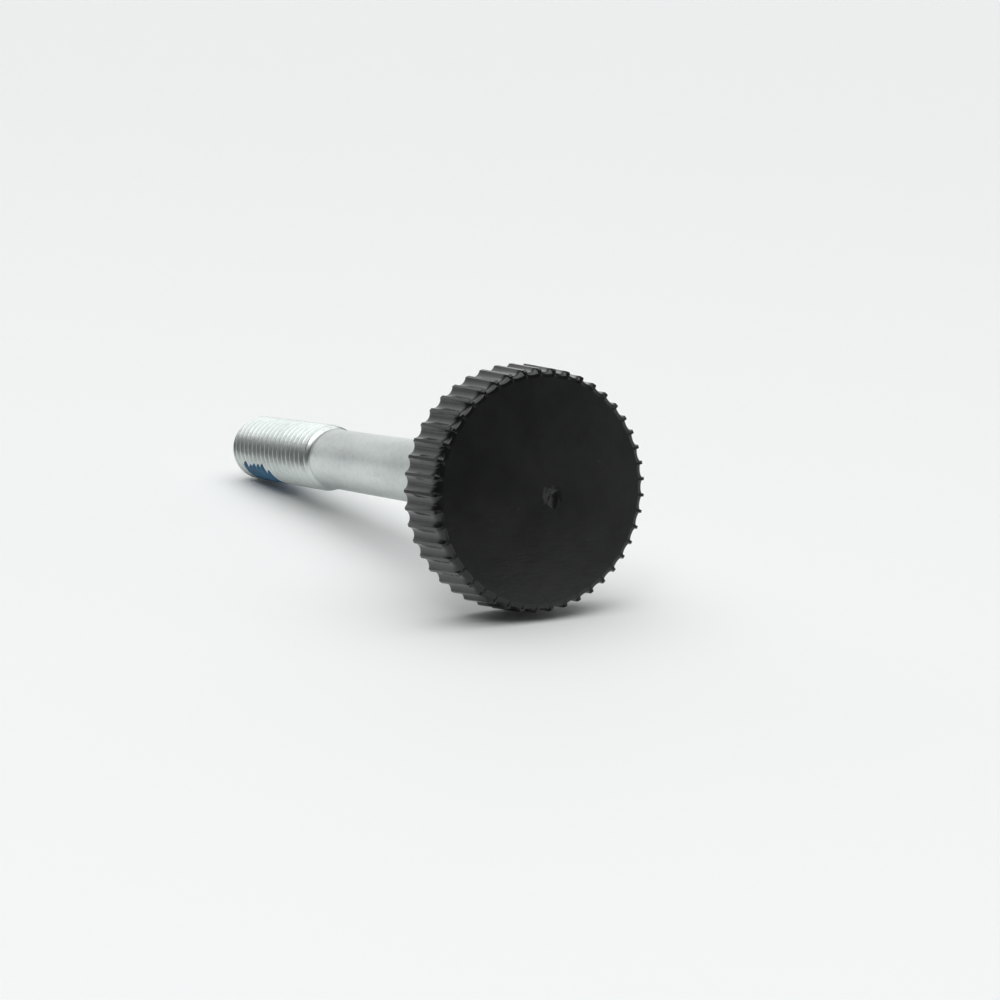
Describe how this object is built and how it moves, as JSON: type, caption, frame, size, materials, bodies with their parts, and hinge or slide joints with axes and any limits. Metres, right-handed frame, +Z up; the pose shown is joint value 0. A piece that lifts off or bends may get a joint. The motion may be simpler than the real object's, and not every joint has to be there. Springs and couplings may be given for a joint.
{
  "type": "trampoline bolt",
  "caption": "Long steel bolt with a black fluted plastic thumb head, a plain reduced shank and a threaded end with a locking patch, lying on its side.",
  "frame": {"origin": "on the surface that the bolt lies on, under the middle of its length and width", "axes": "+Y from the plastic head towards the tip, +Z up; the bolt's own axis dips 7.8 degrees below +Y towards the tip"},
  "size_m": [0.0256, 0.0726, 0.0259],
  "materials": {
    "black_plastic": "moulded satin black",
    "zinc_steel": "pale zinc plating, dull",
    "blue_nylon": "fused nylon powder"
  },
  "bodies": {
    "root": {"knurled_head": "black_plastic", "bolt": "zinc_steel", "thread_patch": "blue_nylon"}
  },
  "joints": []
}
